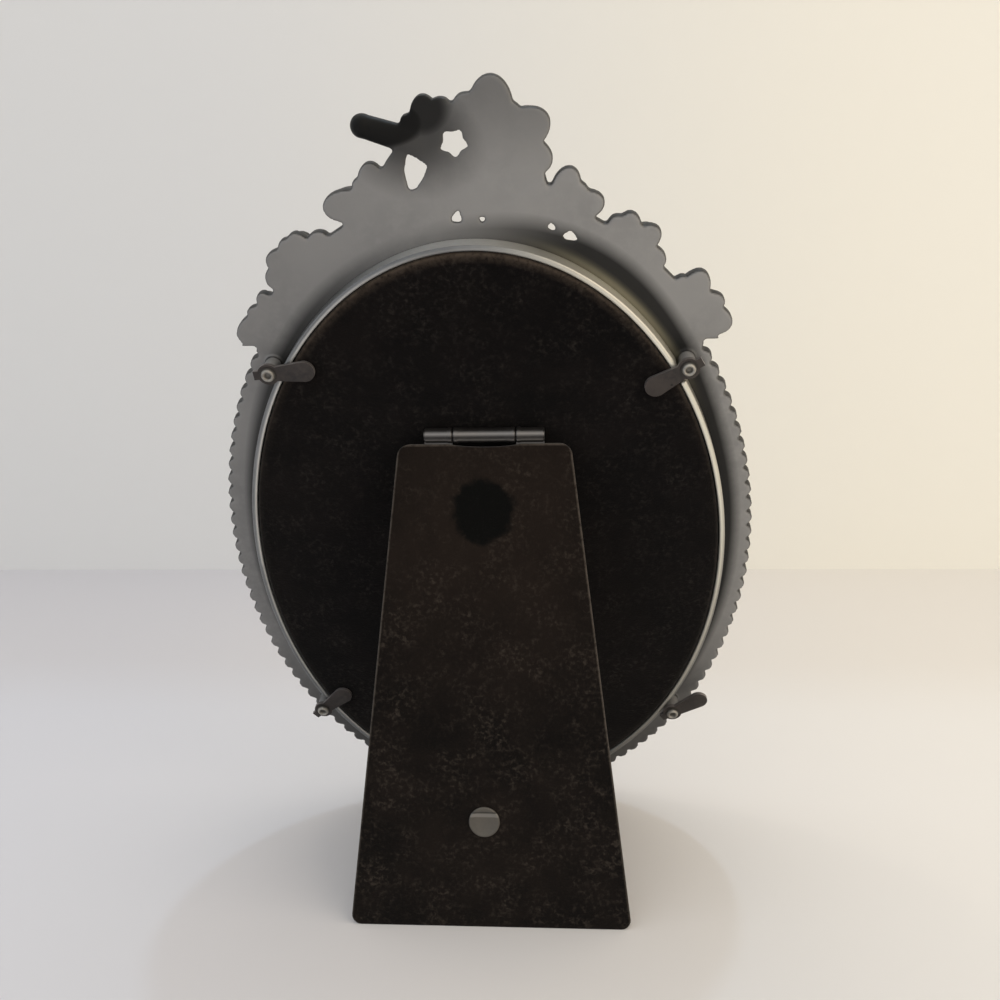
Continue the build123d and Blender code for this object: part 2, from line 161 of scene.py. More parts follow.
def pick_points(piece, wanted):
    """Select the points of a piece that are wanted, and stay in edit mode."""
    bpy.ops.object.mode_set(mode="EDIT")
    bpy.ops.mesh.select_all(action="DESELECT")
    bpy.ops.object.mode_set(mode="OBJECT")
    for vertex in piece.data.vertices:
        vertex.select = wanted(vertex.co)
    bpy.ops.object.mode_set(mode="EDIT")


def join(pieces):
    """Join pieces into the first of them."""
    only(pieces[0])
    for piece in pieces[1:]:
        piece.select_set(True)
    bpy.ops.object.join()
    return pieces[0]


def set_up(piece, place=standing):
    """Take a piece from flat to where it stands, with its object left at the origin."""
    only(piece)
    piece.matrix_world = place @ piece.matrix_world
    bpy.ops.object.transform_apply(location=True, rotation=True, scale=True)
    bpy.ops.object.shade_smooth_by_angle(angle=smooth_below)


def rim_point(turn, outset):
    """The point beside the rim, at a turn from the right and set out square to it."""
    along = Vector((rim_half_width * math.cos(turn), rim_half_height * math.sin(turn)))
    square = Vector((along.x / rim_half_width**2, along.y / rim_half_height**2)).normalized()
    return along + square * outset


def evenly_round(half_width, half_height, count):
    """Points spaced evenly along an oval, two of them sharing its lowest stretch."""
    turns = np.linspace(-0.5 * math.pi, 1.5 * math.pi, 4001)
    x, y = half_width * np.cos(turns), half_height * np.sin(turns)
    run = np.concatenate([[0], np.cumsum(np.hypot(np.diff(x), np.diff(y)))])
    wanted = (np.arange(count) + 0.5) / count * run[-1]
    return list(zip(np.interp(wanted, run, x), np.interp(wanted, run, y)))


casting = flat_copy("frame_casting", "cast_frame")
for vertex in casting.data.vertices:
    if vertex.co.y > twig_lap_foot and vertex.co.x > twig_lap_end:
        vertex.co.z = min(vertex.co.z, -twig_lap_depth)
pick_points(casting, lambda point: (point - twig_end).length < 1.05 * twig_radius)
bpy.ops.transform.translate(value=twig_knob - twig_end)
bpy.ops.transform.resize(value=(0.9, 0.9, 0.9), center_override=twig_knob)
bpy.ops.object.mode_set(mode="OBJECT")
bpy.ops.mesh.primitive_uv_sphere_add(segments=24, ring_count=12, radius=0.95 * twig_radius, location=twig_knob)
cast_in = [casting, bpy.context.object]

bead_line = (rim_half_width - bead_line_inset, rim_half_height - bead_line_inset)
bead_spots = [spot for spot in evenly_round(*bead_line, bead_count) if spot[1] < crest_start]
bpy.ops.mesh.primitive_ico_sphere_add(subdivisions=3, radius=bead_radius)
first_bead = added("bead")
beads = [first_bead] + [another(first_bead, "bead") for _ in bead_spots[1:]]
for bead, (x, y) in zip(beads, bead_spots):
    bead.location = (x, y, -bead_depth)
cast_in += beads

for turn, outset, rise, lobes in vine_leaves.values():
    heart = rim_point(math.radians(turn), outset * MM)
    front = -plate_thickness - rise * MM
    for direction, reach in lobes:
        way = math.radians(direction)
        half = (reach - leaf_step) / 2 * MM
        middle = heart + Vector((math.cos(way), math.sin(way))) * half
        for half_width, rib_rise in (
                (lobe_slenderness * 2 * half, leaf_dome), (vein_radius, leaf_dome + vein_radius)):
            bpy.ops.mesh.primitive_uv_sphere_add(
                segments=24, ring_count=12, radius=1, location=(*middle, front),
                rotation=(0, 0, way), scale=(half, half_width, rib_rise))
            cast_in.append(bpy.context.object)

bpy.ops.curve.primitive_bezier_circle_add(radius=1)
stem = added("vine_stem")
stem.scale = (rim_half_width + stem_outset, rim_half_height + stem_outset, 1)
bpy.ops.object.transform_apply(location=False, rotation=False, scale=True)
stem.data.bevel_depth = stem_radius
stem.data.bevel_resolution = 4
stem.data.resolution_u = 48
bpy.ops.object.convert(target="MESH")
stem.data.transform(Matrix.Translation((0, 0, -plate_thickness)))
bpy.ops.object.mode_set(mode="EDIT")
bpy.ops.mesh.select_all(action="SELECT")
bpy.ops.mesh.bisect(
    plane_co=(0, crest_start, 0), plane_no=(0, 1, 0), use_fill=True, clear_inner=True)
bpy.ops.object.mode_set(mode="OBJECT")
cast_in.append(stem)

join(cast_in)
use_modifier(casting, "REMESH", mode="VOXEL", voxel_size=casting_grain)
use_modifier(casting, "SMOOTH", factor=0.5, iterations=3)
use_modifier(casting, "DECIMATE", ratio=0.5)


def clipped(value):
    """A value held between 0 and 1."""
    return min(max(value, 0), 1)


def mark(piece, name, share):
    """Keep a share from 0 to 1 at each point of a piece lying flat, for its material."""
    kept = piece.data.attributes.new(name, "FLOAT", "POINT")
    for vertex, value in zip(piece.data.vertices, kept.data):
        value.value = clipped(share(vertex.co, vertex.normal))


def casting_patina_and_shade(point, normal):
    """Painted shade on the turned edges and on the bosses, deepest under them, and patina in the front's
    recesses.
    """
    _, y, z = point / MM
    if normal.z < -0.2:
        return 0.7 - 0.6 * clipped((-z - 2) / 3)
    if z > 0.6 and y < 60:
        return 0.5 - 0.5 * normal.y
    return 0.9 * clipped((0.95 - normal.z) / 0.4)


def keep_place(piece):
    """Keep the place of each point of a piece lying flat, in mm, for its material."""
    kept = piece.data.attributes.new("flat_place", "FLOAT_VECTOR", "POINT")
    for vertex, value in zip(piece.data.vertices, kept.data):
        value.vector = vertex.co / MM


mark(casting, "patina_and_shade", casting_patina_and_shade)
keep_place(casting)
set_up(casting)


def fill(tree, socket, value):
    """Link or set one input of a shader node."""
    if isinstance(value, bpy.types.NodeSocket):
        tree.links.new(value, socket)
    else:
        socket.default_value = value


def add_node(tree, kind, settings=None, **inputs):
    """Add a shader node, with its settings and the values or links of its inputs."""
    made = tree.nodes.new(kind)
    for setting, value in (settings or {}).items():
        setattr(made, setting, value)
    for name, value in inputs.items():
        fill(tree, made.inputs[name.replace("_", " ")], value)
    return made


def own_place(tree):
    """Where a point lies, in its piece's own coordinates."""
    return tree.nodes.new("ShaderNodeTexCoord").outputs["Object"]


def marked(tree, name, output="Fac"):
    """What a piece's points keep under a name."""
    return add_node(tree, "ShaderNodeAttribute", {"attribute_name": name}).outputs[output]


def figured(tree, operation, *values):
    """One sum, from values or links."""
    made = add_node(tree, "ShaderNodeMath", {"operation": operation})
    for socket, value in zip(made.inputs, values):
        fill(tree, socket, value)
    return made.outputs[0]


def vectored(tree, operation, *values):
    """One sum of vectors, from values or links."""
    made = add_node(tree, "ShaderNodeVectorMath", {"operation": operation})
    for socket, value in zip(made.inputs, values):
        fill(tree, socket, value)
    return made.outputs["Value" if operation in ("LENGTH", "DISTANCE", "DOT_PRODUCT") else "Vector"]


def ramped(tree, value, low, high):
    """A value spread from 0 at low to 1 at high, with soft ends."""
    made = add_node(
        tree, "ShaderNodeMapRange", {"interpolation_type": "SMOOTHSTEP"},
        Value=value, From_Min=low, From_Max=high)
    return made.outputs["Result"]


def mixed(tree, share, first, second):
    """One colour into another by a share."""
    made = add_node(tree, "ShaderNodeMix", {"data_type": "RGBA"})
    for socket, value in ((made.inputs[0], share), (made.inputs[6], first), (made.inputs[7], second)):
        fill(tree, socket, value)
    return made.outputs[2]


def new_group(name, inputs, outputs):
    """An empty shader group with named sockets, and the nodes at its two ends."""
    group = bpy.data.node_groups.new(name, "ShaderNodeTree")
    kinds = {"colour": "NodeSocketColor", "value": "NodeSocketFloat"}
    for socket, kind in inputs.items():
        group.interface.new_socket(name=socket, in_out="INPUT", socket_type=kinds[kind])
    for socket, kind in outputs.items():
        group.interface.new_socket(name=socket, in_out="OUTPUT", socket_type=kinds[kind])
    return group, group.nodes.new("NodeGroupInput").outputs, group.nodes.new("NodeGroupOutput").inputs


def new_material(name, **sockets):
    """A material with one Principled shader and its plain values."""
    material = bpy.data.materials.new(name)
    material.use_nodes = True
    shader = material.node_tree.nodes["Principled BSDF"]
    for socket, value in sockets.items():
        shader.inputs[socket.replace("_", " ")].default_value = value
    return material, material.node_tree, shader.inputs


def use_group(tree, group, **inputs):
    """Place a shader group in a material, with its own values."""
    made = tree.nodes.new("ShaderNodeGroup")
    made.node_tree = group
    for name, value in inputs.items():
        made.inputs[name.replace("_", " ")].default_value = value
    return made.outputs


def add_bump(tree, shader, height, distance):
    """Raise a height on the shader's normal."""
    bump = add_node(tree, "ShaderNodeBump", Distance=distance, Height=height)
    tree.links.new(bump.outputs["Normal"], shader["Normal"])


def dress(piece, material):
    """Give a piece one material."""
    piece.data.materials.clear()
    piece.data.materials.append(material)


# Tarnish: broad cloudy patches, fine mottling and small pits, as old metal has
tarnish, given, result = new_group(
    "tarnish",
    {"Pale": "colour", "Dark": "colour", "Patch Scale": "value", "Grain Scale": "value", "Pit Share": "value"},
    {"Color": "colour", "Roughness": "value", "Height": "value"})
spot = own_place(tarnish)
patches = add_node(
    tarnish, "ShaderNodeTexNoise", Vector=spot, Scale=given["Patch Scale"], Detail=3.0, Roughness=0.55)
grain = add_node(
    tarnish, "ShaderNodeTexNoise", Vector=spot, Scale=given["Grain Scale"], Detail=4.0, Roughness=0.65)
cells = add_node(
    tarnish, "ShaderNodeTexVoronoi", Vector=spot, Scale=given["Grain Scale"], Randomness=1.0)
pit_choice = add_node(tarnish, "ShaderNodeSeparateColor", Color=cells.outputs["Color"])
chosen = figured(tarnish, "LESS_THAN", pit_choice.outputs["Red"], given["Pit Share"])
hollow = figured(tarnish, "SUBTRACT", 1.0, ramped(tarnish, cells.outputs["Distance"], 0.12, 0.3))
pits = figured(tarnish, "MULTIPLY", chosen, hollow)
cloudy = mixed(tarnish, ramped(tarnish, patches.outputs["Fac"], 0.35, 0.7), given["Dark"], given["Pale"])
mottled = mixed(tarnish, ramped(tarnish, grain.outputs["Fac"], 0.35, 0.75), cloudy, given["Pale"])
tarnish.links.new(mixed(tarnish, pits, mottled, (0.02, 0.019, 0.018, 1)), result["Color"])
rough = add_node(tarnish, "ShaderNodeMapRange", Value=grain.outputs["Fac"], To_Min=0.36, To_Max=0.62)
tarnish.links.new(rough.outputs["Result"], result["Roughness"])
tarnish.links.new(figured(tarnish, "SUBTRACT", grain.outputs["Fac"], pits), result["Height"])

cast_metal, tree, shader = new_material("cast_metal", Metallic=0.4, Specular_IOR_Level=0.25)
surface = use_group(
    tree, tarnish, Pale=(0.3, 0.296, 0.29, 1), Dark=(0.238, 0.236, 0.233, 1),
    Patch_Scale=26.0, Grain_Scale=420.0, Pit_Share=0.0)
flat_place = marked(tree, "flat_place", "Vector")
flat_axes = add_node(tree, "ShaderNodeSeparateXYZ", Vector=flat_place).outputs


def away_from(middle, reach):
    """How far a place of the casting is from a middle, as a share of a reach across and up."""
    offset = vectored(tree, "SUBTRACT", flat_place, (*middle, 0))
    return vectored(tree, "LENGTH", vectored(tree, "MULTIPLY", offset, (1 / reach[0], 1 / reach[1], 0)))


def near_turn(middle, reach):
    """1 at a turn round the frame, falling to 0 at a reach to either side of it, in radians."""
    aside = figured(tree, "ABSOLUTE", figured(tree, "SUBTRACT", turn, middle))
    return ramped(tree, aside, reach, 0)


on_back = figured(
    tree, "MULTIPLY", ramped(tree, flat_axes["Z"], -0.9, -0.4), ramped(tree, flat_axes["Z"], 0.8, 0.4))
turn = figured(
    tree, "ARCTAN2", figured(tree, "DIVIDE", flat_axes["Y"], 70), figured(tree, "DIVIDE", flat_axes["X"], 50))
# Painted shade, with some tarnish, lies on the back just outside the band: it reaches furthest at the upper
# right, less at the top, and is lighter towards the left.
past_band = figured(tree, "MULTIPLY_ADD", away_from((0, 0), (49.85, 69.85)), 58, -58)
upper_right = near_turn(1.02, 0.66)
upper_left = near_turn(2.41, 0.5)
right_side = figured(tree, "MULTIPLY", near_turn(0.25, 0.9), 0.8)
shade_reach = figured(tree, "MULTIPLY_ADD", upper_left, 0.9, 3.7)
shade_end = figured(tree, "MULTIPLY_ADD", upper_right, 2.4, shade_reach)
shade = add_node(
    tree, "ShaderNodeMapRange", Value=past_band,
    From_Min=figured(tree, "ADD", shade_end, right_side),
    From_Max=figured(tree, "ADD", figured(tree, "MULTIPLY_ADD", upper_right, 2.6, 1.0), right_side))
shade_depth = figured(tree, "MULTIPLY_ADD", ramped(tree, flat_axes["X"], 0, -45), -0.12, 0.94)
beside_band = figured(
    tree, "MULTIPLY", figured(tree, "MULTIPLY", shade.outputs["Result"], shade_depth),
    figured(tree, "MULTIPLY_ADD", near_turn(1.76, 0.6), -0.75, 1))
# Painted shade on the low part of the ring, a little deeper on the left.
low_left_shade = figured(tree, "MULTIPLY", ramped(tree, flat_axes["Y"], -2, -62), 0.75)
low = figured(tree, "MULTIPLY", low_left_shade, figured(tree, "MULTIPLY_ADD", flat_axes["X"], -0.001, 0.91))
# Darker towards the top of the crest.
top_leaf = figured(tree, "MULTIPLY", ramped(tree, flat_axes["Y"], 78, 96), 0.38)
# Painted shade on the left side, away from the warm light on the right.
left_shade = figured(tree, "MULTIPLY", ramped(tree, flat_axes["X"], 15, -45), 0.2)
# Darker round the twig and on the leaf beside it.
twig = ramped(tree, away_from((-14.6, 90), (8, 4)), 1.6, 0.85)
by_twig = figured(tree, "MULTIPLY", ramped(tree, away_from((-9, 88.5), (17, 14)), 1.0, 0.2), 0.8)
twig_leaf = figured(tree, "MULTIPLY", ramped(tree, away_from((-6.9, 92), (5, 5.2)), 1.7, 0.55), 0.96)
# Painted shade, patina and the darker crest and twig together take the casting's colour towards near black.
patina_and_shade = marked(tree, "patina_and_shade")
for shaded in (beside_band, low, top_leaf, left_shade, by_twig):
    patina_and_shade = figured(tree, "MAXIMUM", patina_and_shade, figured(tree, "MULTIPLY", on_back, shaded))
for shaded in (twig, twig_leaf):
    patina_and_shade = figured(tree, "MAXIMUM", patina_and_shade, shaded)
shaded_and_patinated = mixed(tree, patina_and_shade, surface["Color"], (0.005, 0.0048, 0.0044, 1))
soldered = figured(tree, "MULTIPLY", on_back, near_turn(0.98, 0.5))
solder = figured(tree, "MULTIPLY", ramped(tree, past_band, 2.0, 1.3), soldered)
solder_colour = mixed(
    tree, ramped(tree, past_band, 1.5, 0.4), (0.06, 0.056, 0.045, 1), (0.21, 0.195, 0.14, 1))
tree.links.new(mixed(tree, solder, shaded_and_patinated, solder_colour), shader["Base Color"])
tree.links.new(surface["Roughness"], shader["Roughness"])
add_bump(tree, shader, surface["Height"], 0.02 * MM)
dress(casting, cast_metal)
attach(casting, "frame")
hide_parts("frame_casting")

# Glass pane: thin drawn glass, ground to the oval, loose behind the front lip of the casting.
# Its back is kept a hair clear of the paper, so that the two faces don't lie in one plane.
glass_clear = 0.06 * MM

pane = flat_copy("glass_pane", "clear_pane")
pane_back = max(vertex.co.z for vertex in pane.data.vertices)
for vertex in pane.data.vertices:
    if vertex.co.z > pane_back - glass_clear:
        vertex.co.z -= glass_clear
set_up(pane)
clear_glass, tree, shader = new_material(
    "clear_glass", Base_Color=(0.94, 0.97, 0.96, 1), Metallic=1.0, Roughness=0.03)
ripple = add_node(tree, "ShaderNodeTexNoise", Vector=own_place(tree), Scale=24.0, Detail=1.0)
add_bump(tree, shader, ripple.outputs["Fac"], 0.02 * MM)
mirrored = add_node(tree, "ShaderNodeFresnel", IOR=1.5)
tree.links.new(mirrored.outputs["Fac"], shader["Alpha"])
dress(pane, clear_glass)
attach(pane, "frame")
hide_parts("glass_pane")

# Photo card and filler card: a blank sheet in the picture's place, and grey card packing it against the glass.
# Both are cut to the oval and lie loose, and only the paper shows, through the glass.
paper_fibre, given, result = new_group(
    "paper_fibre",
    {"Pale": "colour", "Dark": "colour", "Scale": "value"},
    {"Color": "colour", "Height": "value"})
spot = own_place(paper_fibre)
fibre = add_node(
    paper_fibre, "ShaderNodeTexNoise", Vector=spot, Scale=given["Scale"],
    Detail=6.0, Roughness=0.7, Distortion=0.6)
cloud = add_node(paper_fibre, "ShaderNodeTexNoise", Vector=spot, Scale=30.0, Detail=2.0)
matted = ramped(
    paper_fibre, figured(paper_fibre, "MULTIPLY", fibre.outputs["Fac"], cloud.outputs["Fac"]), 0.12, 0.42)
paper_fibre.links.new(mixed(paper_fibre, matted, given["Dark"], given["Pale"]), result["Color"])
paper_fibre.links.new(fibre.outputs["Fac"], result["Height"])


def paper_material(name, pale, dark, scale):
    """A matte paper or card with its fibres."""
    material, tree, shader = new_material(name, Roughness=0.9)
    sheet = use_group(tree, paper_fibre, Pale=pale, Dark=dark, Scale=scale)
    tree.links.new(sheet["Color"], shader["Base Color"])
    add_bump(tree, shader, sheet["Height"], 0.03 * MM)
    return material


blank_paper = paper_material("blank_paper", (0.83, 0.81, 0.76, 1), (0.74, 0.71, 0.65, 1), 900.0)
grey_card = paper_material("grey_card", (0.36, 0.33, 0.29, 1), (0.25, 0.23, 0.2, 1), 500.0)
dress(frame["nodes"]["photo_card"], blank_paper)
dress(frame["nodes"]["filler_card"], grey_card)

# Back board: pressed grey card cut to the oval, under the velvet, slotted for the hinge's back leaf.
# Its edge and face are covered, so it keeps its CAD shape.
dress(frame["nodes"]["back_board"], grey_card)

# Retaining band: a thin plated strip bent round the oval and soldered on edge to the casting's back.
# Its ends stop short of each other under the upper right button, and its top edge is worn bright and carries a
# painted highlight, with a painted reflection on its wall.
band_height = 4.0 * MM
band_wall = 1.1 * MM
band_half_width = 48.75 * MM
band_half_height = 68.75 * MM
band_gap = 2.6 * MM
band_gap_turn = math.radians(39.5)
band_round = 0.42 * MM


def round_edges(piece, width, segments, sharper_than=50):
    """Round those edges of a piece that turn by more than an angle in degrees."""
    use_modifier(
        piece, "BEVEL", width=width, segments=segments,
        limit_method="ANGLE", angle_limit=math.radians(sharper_than))


bpy.ops.mesh.primitive_circle_add(vertices=360, radius=1)
band = added("back_band")
band.scale = (band_half_width, band_half_height, 1)
bpy.ops.object.transform_apply(location=False, rotation=False, scale=True)
gap_middle = Vector(
    (band_half_width * math.cos(band_gap_turn), band_half_height * math.sin(band_gap_turn), 0))
pick_points(band, lambda point: (point - gap_middle).length < band_gap / 2)
bpy.ops.mesh.delete(type="VERT")
bpy.ops.mesh.select_all(action="SELECT")
bpy.ops.mesh.extrude_region_move(TRANSFORM_OT_translate={"value": (0, 0, band_height)})
bpy.ops.mesh.select_all(action="SELECT")
bpy.ops.mesh.normals_make_consistent(inside=False)
bpy.ops.object.mode_set(mode="OBJECT")
use_modifier(band, "SOLIDIFY", thickness=band_wall, offset=1.0)
round_edges(band, band_round, segments=4)


def band_wear_and_highlight(point, normal):
    """Pale on the top edge, most where the right side is rubbed, as wear and a painted highlight, and less on
    the wall, as a painted reflection strongest at the top and upper right.
    """
    turn = math.degrees(math.atan2(point.y / band_half_height, point.x / band_half_width))
    right = max(0, math.cos(math.radians(turn - 25)))
    left = max(0, math.cos(math.radians(turn - 165)))
    out = math.hypot(point.x / band_half_width, point.y / band_half_height) - 1
    inner = clipped(1.5 - out * (50 + 110 * left + 60 * clipped((20 - turn) / 60)))
    on_edge = clipped((point.z - band_height + 0.5 * MM) / (0.3 * MM))
    at_top = clipped(1.3 - abs(turn - 92) / 22)
    on_wall = 0.18 + 0.64 * max(at_top, clipped(1.2 - abs(turn - 55) / 30))
    rubbed = max(right, 0.95 * left) * (1 - 0.35 * at_top)
    return on_wall * (1 - on_edge) + on_edge * rubbed * (0.15 + 0.85 * inner)


mark(band, "wear_and_painted_light", band_wear_and_highlight)
keep_place(band)
set_up(band)

strip_metal, tree, shader = new_material("strip_metal", Metallic=0.6, Roughness=0.3)
surface = use_group(
    tree, tarnish, Pale=(0.1, 0.104, 0.109, 1), Dark=(0.06, 0.063, 0.066, 1),
    Patch_Scale=55.0, Grain_Scale=700.0, Pit_Share=0.006)
flat_axes = add_node(tree, "ShaderNodeSeparateXYZ", Vector=marked(tree, "flat_place", "Vector")).outputs
# The marked share takes the strip towards a pale painted highlight colour, neutral on the left and warm cream
# on the right, where the warm light falls.
from_left = ramped(tree, flat_axes["X"], -5, 22)
bright = mixed(tree, from_left, (0.82, 0.83, 0.82, 1), (0.87, 0.83, 0.71, 1))
tree.links.new(mixed(tree, marked(tree, "wear_and_painted_light"), surface["Color"], bright), shader["Base Color"])
add_bump(tree, shader, surface["Height"], 0.015 * MM)
dress(band, strip_metal)
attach(band, "frame")
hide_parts("retaining_band")

# Back velvet: short black pile glued over the board and turned down round its edge.
# The edge is rubbed brown where the band touches it.
velvet_thickness = 0.45 * MM
back_surface = 3.9 * MM
velvet_foot = 2.35 * MM
velvet_half_width = 48.5 * MM
velvet_half_height = 68.5 * MM
velvet_round = 0.7 * MM
velvet_rings = (2.0 * MM, 6.0 * MM, 12.0 * MM, 8.0 * MM)

bpy.ops.mesh.primitive_circle_add(vertices=240, radius=1, fill_type="NGON")
back_velvet = added("velvet_back")
back_velvet.scale = (velvet_half_width, velvet_half_height, 1)
bpy.ops.object.transform_apply(location=False, rotation=False, scale=True)
back_velvet.data.transform(Matrix.Translation((0, 0, back_surface)))
bpy.ops.object.mode_set(mode="EDIT")
bpy.ops.mesh.select_all(action="SELECT")
for ring in velvet_rings:
    bpy.ops.mesh.inset(thickness=ring)
bpy.ops.mesh.select_all(action="DESELECT")
bpy.ops.mesh.select_mode(type="EDGE")
bpy.ops.mesh.select_non_manifold()
bpy.ops.mesh.extrude_region_move(TRANSFORM_OT_translate={"value": (0, 0, velvet_foot - back_surface)})
bpy.ops.mesh.select_mode(type="VERT")
bpy.ops.mesh.select_all(action="SELECT")
bpy.ops.mesh.normals_make_consistent(inside=False)
bpy.ops.object.mode_set(mode="OBJECT")
round_edges(back_velvet, velvet_round, segments=5)
use_modifier(back_velvet, "SOLIDIFY", thickness=velvet_thickness, offset=-1.0)


def back_wear(point, normal):
    """Worn at the rolled edge, most at the top."""
    out = math.hypot(point.x / velvet_half_width, point.y / velvet_half_height)
    at_top = clipped(1.5 * point.y / velvet_half_height - 0.45)
    return clipped((out - 0.984) / 0.012) * (0.18 + 0.82 * at_top)


mark(back_velvet, "wear_and_painted_light", back_wear)
set_up(back_velvet)

# Pile: short nap that lies in drifts, flecked with lint, going to bare cloth where the piece is worn
pile, given, result = new_group(
    "pile",
    {"Nap": "colour", "Brushed": "colour", "Fleck": "colour", "Bare": "colour"},
    {"Color": "colour", "Height": "value"})
spot = own_place(pile)
drift = add_node(
    pile, "ShaderNodeTexNoise", Vector=spot, Scale=60.0, Detail=6.0, Roughness=0.65, Distortion=0.4)
tuft = add_node(pile, "ShaderNodeTexNoise", Vector=spot, Scale=2600.0, Detail=2.0, Roughness=0.7)
lint = add_node(
    pile, "ShaderNodeTexNoise", Vector=spot, Scale=1100.0, Detail=3.0, Roughness=0.6, Distortion=0.3)
bunch = add_node(pile, "ShaderNodeTexNoise", Vector=spot, Scale=150.0, Detail=4.0, Roughness=0.6)
flecks = figured(
    pile, "MULTIPLY",
    ramped(pile, lint.outputs["Fac"], 0.44, 0.8), ramped(pile, bunch.outputs["Fac"], 0.34, 0.7))
napped = mixed(pile, ramped(pile, drift.outputs["Fac"], 0.36, 0.7), given["Nap"], given["Brushed"])
tufted = mixed(pile, ramped(pile, tuft.outputs["Fac"], 0.45, 0.85), napped, given["Brushed"])
rubbed = figured(pile, "MULTIPLY", marked(pile, "wear_and_painted_light"), ramped(pile, lint.outputs["Fac"], 0.15, 0.6))
flecked = mixed(pile, flecks, tufted, given["Fleck"])
pile.links.new(mixed(pile, rubbed, flecked, given["Bare"]), result["Color"])
pile.links.new(tuft.outputs["Fac"], result["Height"])

black_velvet, tree, shader = new_material(
    "black_velvet", Roughness=1.0, Specular_IOR_Level=0.1, Sheen_Weight=0.08, Sheen_Roughness=0.5)
nap = use_group(
    tree, pile, Nap=(0.0009, 0.0006, 0.0006, 1), Brushed=(0.0038, 0.0026, 0.0023, 1),
    Fleck=(0.021, 0.0175, 0.0152, 1), Bare=(0.07, 0.053, 0.04, 1))
tree.links.new(nap["Color"], shader["Base Color"])
add_bump(tree, shader, nap["Height"], 0.12 * MM)
dress(back_velvet, black_velvet)
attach(back_velvet, "frame")
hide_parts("back_velvet")

# Turn buttons: four teardrop tabs stamped from dark sheet, each turning on its own rivet to hold the back in.
# Stamping has rolled their top edges a little.
button_roll = 0.28 * MM

dark_steel, tree, shader = new_material("dark_steel", Metallic=0.6)
surface = use_group(
    tree, tarnish, Pale=(0.056, 0.047, 0.043, 1), Dark=(0.027, 0.025, 0.025, 1),
    Patch_Scale=160.0, Grain_Scale=900.0, Pit_Share=0.02)
# The marked share gives the rolled edges a paler painted highlight.
tree.links.new(
    mixed(tree, marked(tree, "wear_and_painted_light"), surface["Color"], (0.17, 0.155, 0.15, 1)), shader["Base Color"])
tree.links.new(surface["Roughness"], shader["Roughness"])
add_bump(tree, shader, surface["Height"], 0.05 * MM)


def tab_edge_highlight(point, normal):
    """Paler on the rolled edge, a painted highlight."""
    return 1.3 * (1 - abs(normal.z))


for number in range(1, 5):
    button = flat_copy(f"turn_button_{number}", f"button_tab_{number}")
    round_edges(button, button_roll, segments=3)
    mark(button, "wear_and_painted_light", tab_edge_highlight)
    set_up(button)
    dress(button, dark_steel)
    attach(button, f"button_{number}")
    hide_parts(f"turn_button_{number}")

# Button rivets: hollow rivets of dull plated rod, set in the bosses with their rims rolled over the tabs.
# One is drawn as half a section and spun, and the others are copies of it.
rivet_section = (
    (0.0, 5.12), (0.5, 5.14), (0.6, 5.45), (0.75, 5.68), (0.95, 5.75), (1.15, 5.66), (1.28, 5.45),
    (1.32, 5.26), (1.55, 5.22), (1.6, 5.12), (1.4, 5.06), (0.8, 5.05), (0.8, 1.2), (0.0, 1.2))
spin_gap = 0.002 * MM


def spun(name, section, steps=40):
    """Draw half a section point by point, radius and height in mm, and spin it round."""
    bpy.ops.mesh.primitive_plane_add(size=MM)
    piece = added(name)
    bpy.ops.object.mode_set(mode="EDIT")
    bpy.ops.mesh.select_all(action="SELECT")
    bpy.ops.mesh.merge(type="CENTER")
    bpy.ops.transform.translate(value=(section[0][0] * MM, 0, section[0][1] * MM))
    for here, there in zip(section, section[1:]):
        step = ((there[0] - here[0]) * MM, 0, (there[1] - here[1]) * MM)
        bpy.ops.mesh.extrude_vertices_move(TRANSFORM_OT_translate={"value": step})
    bpy.ops.mesh.select_all(action="SELECT")
    bpy.ops.mesh.spin(steps=steps, angle=2 * math.pi, center=(0, 0, 0), axis=(0, 0, 1))
    bpy.ops.mesh.select_all(action="SELECT")
    bpy.ops.mesh.remove_doubles(threshold=spin_gap)
    bpy.ops.mesh.normals_make_consistent(inside=False)
    bpy.ops.object.mode_set(mode="OBJECT")
    return piece


dull_steel, tree, shader = new_material("dull_steel", Metallic=0.75)
surface = use_group(
    tree, tarnish, Pale=(0.42, 0.4, 0.36, 1), Dark=(0.2, 0.19, 0.175, 1),
    Patch_Scale=220.0, Grain_Scale=1100.0, Pit_Share=0.02)
# Where the marked share is low, painted shade darkens the rivet.
tree.links.new(
    mixed(tree, marked(tree, "wear_and_painted_light"), (0.035, 0.033, 0.03, 1), surface["Color"]), shader["Base Color"])
tree.links.new(surface["Roughness"], shader["Roughness"])
add_bump(tree, shader, surface["Height"], 0.04 * MM)


def rivet_shade(point, normal):
    """The rolled rim keeps the metal's colour; painted shade darkens the hollow by about half and the flange
    outside the rim fully.
    """
    rim = clipped((1.36 - point.to_2d().length / MM) / 0.1)
    return rim * (0.4 + 0.6 * clipped((point.z / MM - 5.35) / 0.25))


first_rivet = spun("hollow_rivet_1", rivet_section)
mark(first_rivet, "wear_and_painted_light", rivet_shade)
rivets = [first_rivet] + [another(first_rivet, f"hollow_rivet_{number}") for number in range(2, 5)]
for number, rivet in enumerate(rivets, 1):
    post = standing.inverted() @ Vector(joints[f"button_{number}_turn"]["pos_m"])
    rivet.data.transform(Matrix.Translation((post.x, post.y, 0)))
    set_up(rivet)
    dress(rivet, dull_steel)
    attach(rivet, "frame")
    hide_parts(f"button_rivet_{number}")

